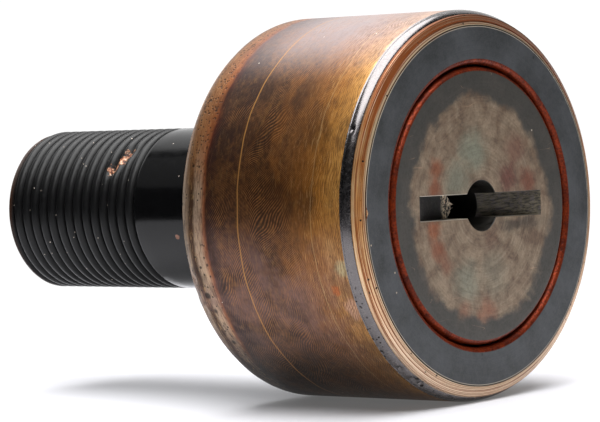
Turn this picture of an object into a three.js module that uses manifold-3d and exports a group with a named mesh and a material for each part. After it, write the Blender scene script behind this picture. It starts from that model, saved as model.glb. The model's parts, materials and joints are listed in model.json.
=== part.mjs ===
// Stud-type needle-roller cam follower, in millimetres, +Z up.
//
// The roller's axis is the Y axis. The origin is on that axis, in the clamping shoulder: the
// outer face of the end plate, which is pulled against the machine when the stud is bolted
// up. The slotted head faces -Y and the threaded stud runs to +Y.

import * as THREE from 'three';
import { mergeVertices } from 'three/addons/utils/BufferGeometryUtils.js';
import Module from 'manifold-3d';

const wasm = await Module();
wasm.setup();

// ---- Driving dimensions ------------------------------------------------------------------

const ROLLER_D = 63.5;              // outer ring, across its tread
const ROLLER_W = 38.1;              // outer ring, from face to face
const CORNER_RADIAL = 2.75;         // rounded corner of the tread, measured along the radius
const CORNER_AXIAL = 3.2;           // the same corner, measured along the axis

const STUD_D = 28.0;                // shank, and thread over its crests
const STUD_L = 57.15;               // stud, from the clamping shoulder to its threaded end
const STUD_CHAMFER = 0.4;
const THREAD_L = 31.75;
const THREAD_PITCH = 25.4 / 12;     // twelve threads to the inch

const RACE_STEP = 1.0;              // raceway on the stud, over the shank, on the radius
const NEEDLE_COUNT = 26;
const NEEDLE_GAP = 0.1;             // between neighbouring needles
const NEEDLE_END_PLAY = 0.2;        // at each end of a needle
const NEEDLE_ROUND = 0.35;          // rounding of a needle's ends

const FLANGE_T = 5.0;               // head flange of the stud
const FLANGE_COVER = 3.45;          // how far flange and end plate reach past the outer race
const EDGE_RADIAL = 0.9;            // rounded edges on both sides of the ring-shaped groove
const EDGE_AXIAL = 1.25;
const PLATE_PROUD = 0.8;            // end plate, standing out of the outer ring's back face
const SEAL_T = 1.2;

const SLOT_W = 3.9;                 // driver slot across the head
const SLOT_L = 31.8;
const SLOT_DEPTH = 4.5;             // at the middle of its arched floor
const SLOT_TURN = 2.0;              // degrees about the axis, away from level

const PORT_D = 8.2;                 // grease port in the head, and the one in the stud's end
const PORT_DEPTH = 14.0;
const END_PORT_DEPTH = 9.0;
const GALLERY_D = 4.5;              // drilling that joins the two ports
const CROSS_D = 3.0;                // drilling from the gallery out to the raceway
const PLUG_L = 5.0;
const PLUG_RECESS = 0.6;

// ---- Clearances --------------------------------------------------------------------------

const RUNNING_FIT = 0.025;          // on the radius, on each side of a needle
const SEAL_PLAY = 0.1;              // round a seal ring
const EDGE_GAP = 0.3;               // flange or end plate to the counterbore round it
const PRESS_GAP = 0.05;             // end plate and plug to the stud
const NEEDLE_TO_SEAL = 0.3;

// ---- Dependent sizes ---------------------------------------------------------------------

const rollerR = ROLLER_D / 2;
const studR = STUD_D / 2;
const innerRaceR = studR + RACE_STEP;

// Needles side by side fill the circle: the chord between two of them is one diameter and
// one gap, and their centres lie half a diameter outside the inner race.
const halfPitchSine = Math.sin(Math.PI / NEEDLE_COUNT);
const needleD = (2 * (innerRaceR + RUNNING_FIT) * halfPitchSine - NEEDLE_GAP) / (1 - halfPitchSine);
const needleCircleR = innerRaceR + RUNNING_FIT + needleD / 2;
const outerRaceR = innerRaceR + needleD + 2 * RUNNING_FIT;

const flangeR = outerRaceR + FLANGE_COVER;
const counterboreR = flangeR + EDGE_GAP;

const yHead = -(ROLLER_W + PLATE_PROUD);            // head face, level with the ring's face
const yFlangeBack = yHead + FLANGE_T;
const yFrontSeat = yFlangeBack + SEAL_T + 2 * SEAL_PLAY;
const yRingBack = -PLATE_PROUD;
const yRearSeat = yRingBack - (yFrontSeat - yHead);
const yPlateFront = yRearSeat + SEAL_T + 2 * SEAL_PLAY;
const yStudEnd = STUD_L;
const yRaceMiddle = (yFlangeBack + yPlateFront) / 2;

// ---- Resolution --------------------------------------------------------------------------

const AROUND = 48;                  // sides of the ring, the end plate and the seals
const AROUND_STUD = 36;             // sides of the stud, and steps of its thread in one turn
const AROUND_SMALL = 24;            // sides of ports, gallery and plug
const AROUND_NEEDLE = 10;
const ARC_STEPS = 3;                // steps of a rounded edge
const CORNER_STEPS = 4;             // steps of the tread's rounded corners
const OVERSHOOT = 1.0;              // how far a cutter starts outside the metal

// ---- Helpers -----------------------------------------------------------------------------

/** Points of a quarter ellipse about (r, y), from one angle to the other, in degrees. */
function quarter(r, y, halfR, halfY, from, to, steps = ARC_STEPS) {
  return Array.from({ length: steps + 1 }, (_, i) => {
    const angle = THREE.MathUtils.degToRad(from + ((to - from) * i) / steps);
    return [r + halfR * Math.cos(angle), y + halfY * Math.sin(angle)];
  });
}

/** Turns a profile of [radius, y] points about the Y axis. */
function turned(profile, sides = AROUND) {
  return new THREE.LatheGeometry(profile.map(([r, y]) => new THREE.Vector2(r, y)), sides);
}

/** Turns a ring's closed section about the Y axis. */
function turnedRing(section, sides = AROUND) {
  return turned([...section, section[0]], sides);
}

/** Radius of the corners of a polygon whose flat sides lie on a bore of radius r. */
function boreCorners(r, sides = AROUND) {
  return r / Math.cos(Math.PI / sides);
}

/** A closed geometry as a solid that can be joined and cut. */
function solid(geometry) {
  const bare = geometry.clone();
  bare.deleteAttribute('normal');
  bare.deleteAttribute('uv');
  const merged = mergeVertices(bare, 1e-5);
  const index = merged.index.array;
  const triangles = [];
  for (let i = 0; i < index.length; i += 3) {
    const [a, b, c] = [index[i], index[i + 1], index[i + 2]];
    if (a !== b && b !== c && c !== a) triangles.push(a, b, c);
  }
  return new wasm.Manifold(new wasm.Mesh({
    numProp: 3,
    vertProperties: new Float32Array(merged.attributes.position.array),
    triVerts: new Uint32Array(triangles),
  }));
}

/** A cut or joined solid as a geometry with flat faces. */
function geometryOf(body) {
  const mesh = body.getMesh();
  const geometry = new THREE.BufferGeometry();
  geometry.setAttribute('position', new THREE.BufferAttribute(mesh.vertProperties, 3));
  geometry.setIndex(new THREE.BufferAttribute(mesh.triVerts, 1));
  geometry.computeVertexNormals();
  return geometry;
}

const BLACKENED = { color: 0x1c1c1e, roughness: 0.45, metalness: 0.9 };
const FACE_GREY = { color: 0x4a4b4d, roughness: 0.5, metalness: 0.9 };
const TURNED_STEEL = { color: 0x8a6a45, roughness: 0.35, metalness: 1.0 };
const GROUND_STEEL = { color: 0xb8b8ba, roughness: 0.2, metalness: 1.0 };
const SEAL_PLASTIC = { color: 0x2a1a12, roughness: 0.7, metalness: 0.0 };
const PLUG_STEEL = { color: 0x6e6e70, roughness: 0.4, metalness: 0.9 };

/** One named sub-part with a material of its own. */
function piece(name, geometry, finish) {
  const mesh = new THREE.Mesh(geometry, new THREE.MeshStandardMaterial(finish));
  mesh.name = name;
  return mesh;
}

// ---- Stud --------------------------------------------------------------------------------

/** Flange, raceway, shank and threaded end as one turned blank. */
function studBlank() {
  const edge = quarter(
    flangeR - EDGE_RADIAL, yHead + EDGE_AXIAL, EDGE_RADIAL, EDGE_AXIAL, -90, 0);
  return solid(turned([
    [0, yHead],
    ...edge,
    [flangeR, yFlangeBack],
    [innerRaceR, yFlangeBack],
    [innerRaceR, yPlateFront],
    [studR, yPlateFront],
    [studR, yStudEnd - STUD_CHAMFER],
    [studR - STUD_CHAMFER, yStudEnd],
    [0, yStudEnd],
  ], AROUND_STUD));
}

/** The groove between the threads: a flat-bottomed V, carried along a right-hand helix. */
function threadGroove() {
  const crestOpening = THREAD_PITCH * 7 / 8;
  const rootFlat = THREAD_PITCH / 4;
  const flank = Math.tan(Math.PI / 6);
  const depth = (crestOpening - rootFlat) / (2 * flank);
  const above = 0.12;
  const runOutTurns = 0.6;
  const leadIn = THREAD_PITCH;
  const steps = Math.ceil(((THREAD_L + leadIn) / THREAD_PITCH) * AROUND_STUD);
  const turns = steps / AROUND_STUD;
  const topHalf = crestOpening / 2 + above * flank;

  const section = new THREE.Shape();
  section.moveTo(-depth, -rootFlat / 2);
  section.lineTo(above, -topHalf);
  section.lineTo(above, topHalf);
  section.lineTo(-depth, rootFlat / 2);
  section.closePath();
  const groove = new THREE.ExtrudeGeometry(section, { depth: 1, steps, bevelEnabled: false });

  // x is the height over the crests, y lies along the axis and z is the share of the helix.
  const at = groove.attributes.position;
  for (let i = 0; i < at.count; i += 1) {
    const turn = at.getZ(i) * turns;
    const runOut = Math.max(0, (turn - (turns - runOutTurns)) / runOutTurns);
    const r = studR + at.getX(i) + runOut * (depth + above);
    const angle = 2 * Math.PI * turn;
    const y = yStudEnd + leadIn - turn * THREAD_PITCH + at.getY(i);
    at.setXYZ(i, r * Math.cos(angle), y, r * Math.sin(angle));
  }
  return solid(groove);
}

/** Both grease ports and the gallery between them, as one stepped drill. */
function axialDrilling() {
  const portR = PORT_D / 2;
  const galleryR = GALLERY_D / 2;
  const tip = portR - galleryR;
  return solid(turned([
    [0, yHead - OVERSHOOT],
    [portR, yHead - OVERSHOOT],
    [portR, yHead + PORT_DEPTH],
    [galleryR, yHead + PORT_DEPTH + tip],
    [galleryR, yStudEnd - END_PORT_DEPTH - tip],
    [portR, yStudEnd - END_PORT_DEPTH],
    [portR, yStudEnd + OVERSHOOT],
    [0, yStudEnd + OVERSHOOT],
  ], AROUND_SMALL));
}

/** The drilling that carries grease from the gallery up to the needles. */
function crossDrilling() {
  const length = innerRaceR + OVERSHOOT;
  const drill = new THREE.CylinderGeometry(CROSS_D / 2, CROSS_D / 2, length, AROUND_SMALL / 2);
  drill.rotateX(Math.PI / 2);
  drill.translate(0, yRaceMiddle, length / 2);
  return solid(drill);
}

/** The disc cutter that leaves a slot with an arched floor across the head. */
function slotCutter() {
  const cutterR = (SLOT_L * SLOT_L / 4 + SLOT_DEPTH * SLOT_DEPTH) / (2 * SLOT_DEPTH);
  const cutter = new THREE.CylinderGeometry(cutterR, cutterR, SLOT_W, 2 * AROUND);
  cutter.rotateX(Math.PI / 2);
  cutter.rotateY(THREE.MathUtils.degToRad(SLOT_TURN));
  cutter.translate(0, yHead + SLOT_DEPTH - cutterR, 0);
  return solid(cutter);
}

function makeStud() {
  const cutters = [threadGroove(), axialDrilling(), crossDrilling(), slotCutter()];
  const body = cutters.reduce((metal, cutter) => metal.subtract(cutter), studBlank());
  return piece('stud', geometryOf(body), BLACKENED);
}

function makePlug() {
  const r = PORT_D / 2 - PRESS_GAP;
  const yOut = yStudEnd - PLUG_RECESS;
  const dish = r / 2;
  const plug = turned([
    [0, yOut - PLUG_L],
    [r, yOut - PLUG_L],
    [r, yOut],
    [dish, yOut],
    [dish - PLUG_RECESS, yOut - PLUG_RECESS],
    [0, yOut - PLUG_RECESS],
  ], AROUND_SMALL);
  return piece('stud_end_plug', plug, PLUG_STEEL);
}

// ---- Outer ring, end plate and seals -----------------------------------------------------

/** The roller: tread, two rounded corners, two counterbores and the outer race. */
function makeOuterRing() {
  const bore = boreCorners(counterboreR);
  const race = boreCorners(outerRaceR);
  const cornerR = rollerR - CORNER_RADIAL;
  const mouthR = bore + EDGE_RADIAL;
  const section = [
    ...quarter(mouthR, yHead + EDGE_AXIAL, -EDGE_RADIAL, -EDGE_AXIAL, 0, 90),
    ...quarter(cornerR, yHead + CORNER_AXIAL, CORNER_RADIAL, CORNER_AXIAL, -90, 0, CORNER_STEPS),
    ...quarter(cornerR, yRingBack - CORNER_AXIAL, CORNER_RADIAL, CORNER_AXIAL, 0, 90, CORNER_STEPS),
    ...quarter(mouthR, yRingBack - EDGE_AXIAL, -EDGE_RADIAL, EDGE_AXIAL, 90, 0),
    [bore, yRearSeat],
    [race, yRearSeat],
    [race, yFrontSeat],
    [bore, yFrontSeat],
  ];
  return piece('outer_ring', turnedRing(section), TURNED_STEEL);
}

/** The thrust plate on the stud's back shoulder, whose outer face is the clamping face. */
function makeEndPlate() {
  const bore = boreCorners(studR + PRESS_GAP);
  const edge = quarter(flangeR - EDGE_RADIAL, -EDGE_AXIAL, EDGE_RADIAL, EDGE_AXIAL, 0, 90);
  const section = [
    [bore, yPlateFront + PRESS_GAP],
    [flangeR, yPlateFront + PRESS_GAP],
    ...edge,
    [bore, 0],
  ];
  return piece('end_plate', turnedRing(section), FACE_GREY);
}

/** A flat seal ring in one counterbore, between the ring's shoulder and the thrust face. */
function makeSeal(name, yShoulder, side) {
  const near = yShoulder + side * SEAL_PLAY;
  const far = near + side * SEAL_T;
  const [low, high] = [Math.min(near, far), Math.max(near, far)];
  const inner = boreCorners(outerRaceR + NEEDLE_TO_SEAL);
  const outer = counterboreR - SEAL_PLAY;
  const section = [[inner, low], [outer, low], [outer, high], [inner, high]];
  return piece(name, turnedRing(section), SEAL_PLASTIC);
}

// ---- Needles -----------------------------------------------------------------------------

/** One loose needle, lying along Y about its own middle. */
function needleGeometry() {
  const r = needleD / 2;
  const half = (yPlateFront - yFlangeBack) / 2 - NEEDLE_END_PLAY;
  return turned([
    [0, -half],
    [r - NEEDLE_ROUND, -half],
    [r, -half + NEEDLE_ROUND],
    [r, half - NEEDLE_ROUND],
    [r - NEEDLE_ROUND, half],
    [0, half],
  ], AROUND_NEEDLE);
}

function makeNeedles() {
  return Array.from({ length: NEEDLE_COUNT }, (_, i) => {
    const name = `needle_${String(i + 1).padStart(2, '0')}`;
    const needle = piece(name, needleGeometry(), GROUND_STEEL);
    const angle = (2 * Math.PI * i) / NEEDLE_COUNT;
    const [x, z] = [Math.sin(angle) * needleCircleR, Math.cos(angle) * needleCircleR];
    needle.position.set(x, yRaceMiddle, z);
    return needle;
  });
}

// ---- Assembly ----------------------------------------------------------------------------

const group = new THREE.Group();
group.add(
  makeStud(),
  makePlug(),
  makeOuterRing(),
  makeEndPlate(),
  makeSeal('front_seal', yFrontSeat, -1),
  makeSeal('rear_seal', yRearSeat, 1),
  ...makeNeedles(),
);

export default group;
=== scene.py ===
"""Stud-type needle-roller cam follower, lying on its tread on a pale floor.

The roller turns about the Y axis. The slotted head faces -Y, the threaded stud runs to +Y and
+Z is up. Every surface is worked out on a grid of rows and columns: a row is one point of a
turned section, and the columns run round the axis.
"""

import json
import math

import bpy
import bmesh
import numpy as np
from mathutils import Matrix, Vector


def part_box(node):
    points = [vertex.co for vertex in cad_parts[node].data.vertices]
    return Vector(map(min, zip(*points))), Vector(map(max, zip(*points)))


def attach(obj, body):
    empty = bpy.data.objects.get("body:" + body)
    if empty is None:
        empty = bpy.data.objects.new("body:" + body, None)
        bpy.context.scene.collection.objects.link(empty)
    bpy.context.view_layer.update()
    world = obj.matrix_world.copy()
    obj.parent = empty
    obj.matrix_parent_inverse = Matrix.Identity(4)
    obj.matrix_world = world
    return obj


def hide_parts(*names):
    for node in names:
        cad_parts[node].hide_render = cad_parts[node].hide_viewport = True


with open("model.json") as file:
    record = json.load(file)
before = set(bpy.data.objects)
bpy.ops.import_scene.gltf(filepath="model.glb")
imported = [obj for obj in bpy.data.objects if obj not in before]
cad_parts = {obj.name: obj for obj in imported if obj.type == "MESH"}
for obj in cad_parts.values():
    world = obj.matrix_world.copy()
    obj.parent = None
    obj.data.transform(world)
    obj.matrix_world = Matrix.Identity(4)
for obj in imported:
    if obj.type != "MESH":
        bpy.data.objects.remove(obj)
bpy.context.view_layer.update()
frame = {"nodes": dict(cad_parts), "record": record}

MM = 0.001

# ---- Sizes read from the frame -------------------------------------------------------------


def reach(node, y_low, y_high):
    """Largest distance from the axis of a CAD node's corners between two heights along it."""
    mesh = frame["nodes"][node].data
    co = np.zeros(len(mesh.vertices) * 3, np.float32)
    mesh.vertices.foreach_get("co", co)
    co = co.reshape(-1, 3)
    between = co[(co[:, 1] >= y_low) & (co[:, 1] <= y_high)]
    return float(np.hypot(between[:, 0], between[:, 2]).max())


ring_low, ring_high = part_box("outer_ring")
plate_low, plate_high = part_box("end_plate")
stud_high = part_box("stud")[1]
plug_low, plug_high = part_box("stud_end_plug")
needle_low, needle_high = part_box("needle_01")

Y_HEAD = ring_low.y                        # head face, level with the ring's face
Y_BACK = ring_high.y                       # back face of the ring
Y_PLATE = plate_low.y                      # inner face of the end plate
Y_END = stud_high.y                        # threaded end of the stud
Y_MIDDLE = (ring_low.y + ring_high.y) / 2
ROLLER_R = ring_high.x
FLANGE_R = stud_high.x
SHANK_R = reach("stud", plate_high.y + 2 * MM, Y_END)
PORT_R = plug_high.x + 0.05 * MM
NEEDLE_R = (needle_high.z - needle_low.z) / 2
NEEDLE_CIRCLE_R = (needle_high.z + needle_low.z) / 2
NEEDLE_FIT = 0.025 * MM
INNER_RACE_R = NEEDLE_CIRCLE_R - NEEDLE_R - NEEDLE_FIT
OUTER_RACE_R = NEEDLE_CIRCLE_R + NEEDLE_R + NEEDLE_FIT
NEEDLE_COUNT = len(frame["record"]["behaviour"]["bodies"]["needle_set"])

# ---- Sizes of what the frame's boxes don't show --------------------------------------------

CORNER_RADIAL = 2.75 * MM                  # rounded corner of the tread
CORNER_AXIAL = 3.2 * MM
COUNTERBORE_R = FLANGE_R + 0.3 * MM
EDGE_RADIAL = 0.9 * MM                     # rounded edges on both sides of the groove
EDGE_AXIAL = 1.25 * MM
FLANGE_T = 5.0 * MM
SEAT_DEPTH = 6.4 * MM                      # depth of a counterbore, from the ring's face
SEAL_T = 1.2 * MM
SEAL_PLAY = 0.1 * MM
THREAD_L = 31.75 * MM
THREAD_PITCH = 25.4 * MM / 12
THREAD_DEPTH = 1.05 * MM
STUD_CHAMFER = 0.4 * MM
SLOT_W = 3.9 * MM
SLOT_L = 31.8 * MM
SLOT_DEPTH = 4.5 * MM
SLOT_TURN = math.radians(2.0)
SLOT_BEVEL = 0.1 * MM
PORT_DEPTH = 14.0 * MM
END_PORT_DEPTH = 9.0 * MM
GALLERY_R = 2.25 * MM

SEAL_BORE_PLAY = 0.32 * MM                 # from the outer race to the seal's bore
SEAL_LIP = 0.2 * MM
SEAL_DIP = 0.12 * MM
NEEDLE_END = 0.35 * MM                     # rounding of a needle's ends
PLUG_EASE = 0.35 * MM
PLUG_DISH = 0.55 * MM
BORE_EASE = 0.3 * MM                       # end plate's bore
PRESS_GAP = 0.05 * MM                      # between the end plate and the stud
PORT_EASE = 0.08 * MM

# The ring's front corner, in mm: (outwards from the edge of its face, depth under the face).
# A fine line at the face's edge, two turned cones parted by a line, a narrow cone, a valley.
TURNED_CONES = ((0, 0), (0.03, 0.12), (0.11, 0.12), (0.15, 0.04), (0.70, 0.25), (0.74, 0.36),
                (0.82, 0.37), (0.86, 0.30), (1.70, 0.80), (1.74, 0.92), (1.82, 0.94),
                (1.86, 0.88), (1.93, 1.05), (1.94, 1.40), (1.945, 1.50))
# Its bead: centre under the tread and under the face, radius (mm); from, to (degrees); steps.
BEAD_ARCS = ((0.827, 1.788, 0.25, -85, -48, 4),      # foot
             (1.932, 3.014, 1.90, -48, -8, 8),       # broad crown
             (0.268, 2.781, 0.22, -8, 40, 5))        # rounding towards the tread
# Start of the tread, in mm: (under the tread, depth under the face).
TREAD_START = ((0.11, 2.96), (0.06, 3.03), (0, 3.15))
BACK_STEPS = ((16.5, 28.5), (46.5, 60))    # degrees, turned a little deeper
BACK_STEP = 0.05                           # mm

# Packed dirt in the port, in mm: depth of its top and foot, how far each runs out, its swell.
LEDGE_TOP, LEDGE_RISE = 4.2, 0.35
LEDGE_FOOT, LEDGE_SLOPE = 7.5, 2.5
LEDGE_SWELL = 2.7

# Wear, and one painted shade line, in mm from the part's origin or from its axis.
FACE_LINE_R = 28.93                        # bare line near the rim of the ring's face
CORNER_SHADE_LINE = 29.13                        # painted shade line in the fine groove where the turned corner starts
BRUISE_SIZE, BRUISE_DEPTH = 1.3, 0.55
LINE_Y = -14.2                             # fine turned line round the tread
SECOND_LINE = 15.8                         # a fainter one, this far in front of it
BRUISE = ((-11.5, 32.9, 7.9), (-10.3, 31.6, 9.5), (-9.3, 30.9, 10.5))
RUST_SPOT = (-13.4, 16.4, -4.0)
TREAD_STAINS = (                           # centre, radius, strength, colour
    ((-30.8, -35.0, -7.7), 1.9, 0.75, "#a39f7c"), ((-29.8, -32.6, -11.1), 1.2, 0.8, "#a8521c"),
    ((-28.4, -35.2, -14.2), 2.6, 0.6, "#c49c88"), ((-30.2, -33.0, -4.0), 2.4, 0.4, "#b98d5a"))
HEAD_STAINS = (                            # x, z, radius, strength, colour
    (-6.0, 4.5, 5.0, 0.65, "#7b8070"), (-1.5, 9.0, 5.0, 0.7, "#7d8473"),
    (-5.0, -12.0, 5.0, 0.6, "#7e8373"), (2.5, -11.0, 5.5, 0.4, "#82806f"),
    (-11.2, 6.6, 2.6, 0.8, "#84492c"), (-11.8, 3.6, 2.6, 0.8, "#80462b"),
    (-12.6, -3.2, 2.7, 0.8, "#8c4d2c"), (-11.8, -6.4, 2.8, 0.75, "#84492e"),
    (-9.8, -9.0, 2.4, 0.4, "#8c563e"), (0.0, -17.5, 3.8, 0.6, "#8f5a42"),
    (-5.5, -16.5, 2.6, 0.45, "#8f5f49"), (7.5, 4.2, 3.8, 0.85, "#663c33"),
    (12.5, 3.0, 3.4, 0.85, "#70402f"), (9.5, 8.5, 3.8, 0.7, "#704a3c"),
    (2.0, -6.0, 2.8, 0.6, "#5e4032"), (-9.0, 17.0, 2.4, 0.6, "#1f1f1f"))
NICKS = (                                  # centre, size and depth of nicks in the ring
    ((-28.6, -36.4, 14.0), 0.4, 0.35), ((-29.0, -38.8, 0.9), 0.6, 0.5),
    ((-20.0, -36.5, -24.4), 0.5, 0.5), ((-17.2, -36.7, -26.5), 0.6, 0.6),
    ((-15.6, -36.9, -27.4), 0.5, 0.6), ((-30.9, -1.2, -7.0), 0.7, 0.5),
    ((-30.2, -2.4, -9.6), 0.6, 0.45), ((-29.2, -1.6, -12.4), 0.8, 0.5),
    ((-27.9, -2.8, -15.0), 0.6, 0.4), ((-31.0, -2.0, 3.5), 0.5, 0.4))

ROUND_COLUMNS = 256                        # columns of a large turned surface
RING_COLUMNS = 400
SEAL_COLUMNS = 192
PLUG_COLUMNS = 64
NEEDLE_COLUMNS = 24
SHARP_ANGLE = math.radians(32)             # edges over this stay crisp


# ---- Surfaces ------------------------------------------------------------------------------


def arc(r, y, half_r, half_y, start, end, steps):
    """Points of an ellipse about (r, y), its angle running from start to end in degrees."""
    t = np.radians(np.linspace(start, end, steps + 1))
    return np.stack([r + half_r * np.cos(t), y + half_y * np.sin(t)], axis=1)


def run(*stops):
    """Points of straight lines between stops (r, y, steps); steps divides the line to a stop."""
    points = [np.array([[stops[0][0], stops[0][1]]])]
    for (r0, y0, _), (r1, y1, steps) in zip(stops, stops[1:]):
        share = (np.arange(steps) + 1)[:, None] / steps
        points.append(np.array([[r0, y0]]) + share * np.array([[r1 - r0, y1 - y0]]))
    return np.concatenate(points)


def sweep(section, angles):
    """Grid of points: each section point (r, y) is turned to (r cos a, y, r sin a)."""
    r, y = section[:, 0][:, None], section[:, 1][:, None]
    a = angles[None, :] if angles.ndim == 1 else angles
    ones = np.ones_like(a * r)
    return np.stack([r * np.cos(a), y * ones, r * np.sin(a)], axis=-1)


def quads(rows, columns, offset=0):
    """Faces between neighbouring rows and columns, with the outside of the metal outwards."""
    i = np.arange(rows - 1)[:, None] * columns
    j = np.arange(columns - 1)[None, :]
    first = (i + j).ravel() + offset
    return np.stack([first, first + columns, first + columns + 1, first + 1], axis=1)


def build(name, grids, body, replaced, finishes, repaint=None):
    """One closed mesh from grids of points (rows, columns, 3), sewn where their edges meet.

    Each grid comes with the finish of every row of faces. The first and last column of a grid
    lie on each other, and so do the last row of one grid and the first row of the next.
    """
    points, faces, paints, count = [], [], [], 0
    for grid, paint in grids:
        rows, columns = grid.shape[:2]
        points.append(grid.reshape(-1, 3))
        faces.append(quads(rows, columns, count))
        paints.append(np.repeat(np.asarray(paint)[:rows - 1], columns - 1))
        count += rows * columns
    mesh = bpy.data.meshes.new(name)
    mesh.from_pydata(np.concatenate(points).tolist(), [], np.concatenate(faces).tolist())
    mesh.polygons.foreach_set("material_index", np.concatenate(paints).astype(np.int32))
    sewn = bmesh.new()
    sewn.from_mesh(mesh)
    bmesh.ops.remove_doubles(sewn, verts=sewn.verts, dist=2e-6)
    bmesh.ops.dissolve_degenerate(sewn, edges=sewn.edges, dist=1e-7)
    sewn.to_mesh(mesh)
    sewn.free()
    if repaint:
        repaint(mesh)
    mesh.shade_smooth()
    mesh.set_sharp_from_angle(angle=SHARP_ANGLE)
    for finish in finishes:
        mesh.materials.append(finish)
    piece = bpy.data.objects.new(name, mesh)
    bpy.context.scene.collection.objects.link(piece)
    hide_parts(replaced)
    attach(piece, body)
    return piece


def round_angles(columns=ROUND_COLUMNS):
    """Even angles round the axis, the last lying on the first."""
    return np.linspace(0, 2 * math.pi, columns + 1)


# ---- Node trees ----------------------------------------------------------------------------


class Tree:
    """A node tree written in short lines: a value may be a number, a colour or a socket."""

    def __init__(self, tree):
        """Work on a given node tree."""
        self.tree = tree

    def put(self, socket, value):
        """A socket takes a link, a hex colour or a plain value."""
        if isinstance(value, bpy.types.NodeSocket):
            self.tree.links.new(value, socket)
        elif isinstance(value, str):
            socket.default_value = linear(value)
        elif value is not None:
            socket.default_value = value

    def node(self, kind, inputs=(), **settings):
        """A node of a kind, with its inputs by name or number and its settings."""
        made = self.tree.nodes.new(kind)
        for key, value in settings.items():
            setattr(made, key, value)
        for key, value in dict(inputs).items():
            self.put(made.inputs[key], value)
        return made

    def math(self, operation, a, b=None, c=None, clamp=False):
        """A sum of the named kind on one to three values."""
        inputs = {i: v for i, v in enumerate((a, b, c)) if v is not None}
        made = self.node("ShaderNodeMath", inputs, operation=operation, use_clamp=clamp)
        return made.outputs[0]

    def times(self, a, b):
        """Product of two values."""
        return self.math("MULTIPLY", a, b)

    def apart(self, a, b):
        """How far two values are from each other."""
        return self.math("ABSOLUTE", self.math("SUBTRACT", a, b))

    def mix(self, factor, a, b, blend="MIX"):
        """Colour a where factor is 0 and colour b where it is 1."""
        made = self.node("ShaderNodeMix", data_type="RGBA", blend_type=blend)
        for index, value in ((0, factor), (6, a), (7, b)):
            self.put(made.inputs[index], value)
        return made.outputs[2]

    def span(self, value, low, high, to_low=0.0, to_high=1.0, smooth=False):
        """value carried from low..high to to_low..to_high, and held at the ends."""
        kind = "SMOOTHSTEP" if smooth else "LINEAR"
        inputs = {0: value, 1: low, 2: high, 3: to_low, 4: to_high}
        return self.node("ShaderNodeMapRange", inputs, interpolation_type=kind).outputs[0]

    def ramp(self, value, stops):
        """Colour at a value between stops of (position, hex colour)."""
        made = self.node("ShaderNodeValToRGB", {0: value})
        elements = made.color_ramp.elements
        while len(elements) < len(stops):
            elements.new(0.5)
        for element, (position, colour) in zip(elements, stops):
            element.position = position
            element.color = linear(colour)
        return made.outputs[0]

    def noise(self, vector, scale, detail=3.0, rough=0.55, warp=0.0):
        """Noise between 0 and 1."""
        inputs = {"Vector": vector, "Scale": scale, "Detail": detail,
                  "Roughness": rough, "Distortion": warp}
        return self.node("ShaderNodeTexNoise", inputs).outputs[0]

    def stretch(self, vector, x, y, z, shift=(0, 0, 0)):
        """A place scaled along each axis and then moved."""
        inputs = {"Vector": vector, "Scale": (x, y, z), "Location": shift}
        return self.node("ShaderNodeMapping", inputs).outputs[0]

    def group(self, tree, inputs):
        """A shared effect with its own values; gives its outputs."""
        made = self.node("ShaderNodeGroup", node_tree=tree)
        for key, value in inputs.items():
            self.put(made.inputs[key], value)
        return made.outputs


def linear(code):
    """A hex colour as it looks on a screen, as linear red, green and blue."""
    parts = [int(code[i:i + 2], 16) / 255 for i in (1, 3, 5)]
    return (*((c / 12.92 if c <= 0.04045 else ((c + 0.055) / 1.055) ** 2.4) for c in parts), 1.0)


def new_group(name, inputs, outputs):
    """An empty node group with named number or vector inputs and named outputs."""
    tree = bpy.data.node_groups.new(name, "ShaderNodeTree")
    kinds = {"vector": "NodeSocketVector", "value": "NodeSocketFloat"}
    for label, kind, default in inputs:
        socket = tree.interface.new_socket(label, in_out="INPUT", socket_type=kinds[kind])
        if default is not None:
            socket.default_value = default
    for label, kind in outputs:
        tree.interface.new_socket(label, in_out="OUTPUT", socket_type=kinds[kind])
    t = Tree(tree)
    return t, t.node("NodeGroupInput").outputs, t.node("NodeGroupOutput").inputs


def make_grain():
    """Fine even grain: two sizes of noise, added."""
    t, given, out = new_group(
        "metal_grain",
        [("Vector", "vector", None), ("Per mm", "value", 4.0), ("Contrast", "value", 1.0)],
        [("Value", "value")])
    coarse = t.noise(given["Vector"], t.times(given["Per mm"], 0.25), 4)
    fine = t.noise(given["Vector"], given["Per mm"], 2)
    both = t.math("ADD", t.times(coarse, 0.5), t.times(fine, 0.5))
    centred = t.times(t.math("SUBTRACT", both, 0.5), given["Contrast"])
    t.put(out["Value"], t.math("ADD", centred, 0.5, clamp=True))
    return t.tree


def make_specks():
    """Sparse round specks: the middle of some cells of a cell pattern."""
    t, given, out = new_group(
        "specks",
        [("Vector", "vector", None), ("Per mm", "value", 0.7), ("Size", "value", 0.2),
         ("Share", "value", 0.3)],
        [("Mask", "value")])
    cell = t.node("ShaderNodeTexVoronoi",
                  {"Vector": given["Vector"], "Scale": given["Per mm"], "Randomness": 1.0})
    half = t.times(given["Size"], 0.5)
    near = t.span(cell.outputs["Distance"], half, given["Size"], 1, 0, smooth=True)
    kept = t.math("LESS_THAN", t.node(
        "ShaderNodeSeparateColor", {0: cell.outputs["Color"]}).outputs[0], given["Share"])
    t.put(out["Mask"], t.times(near, kept))
    return t.tree


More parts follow.
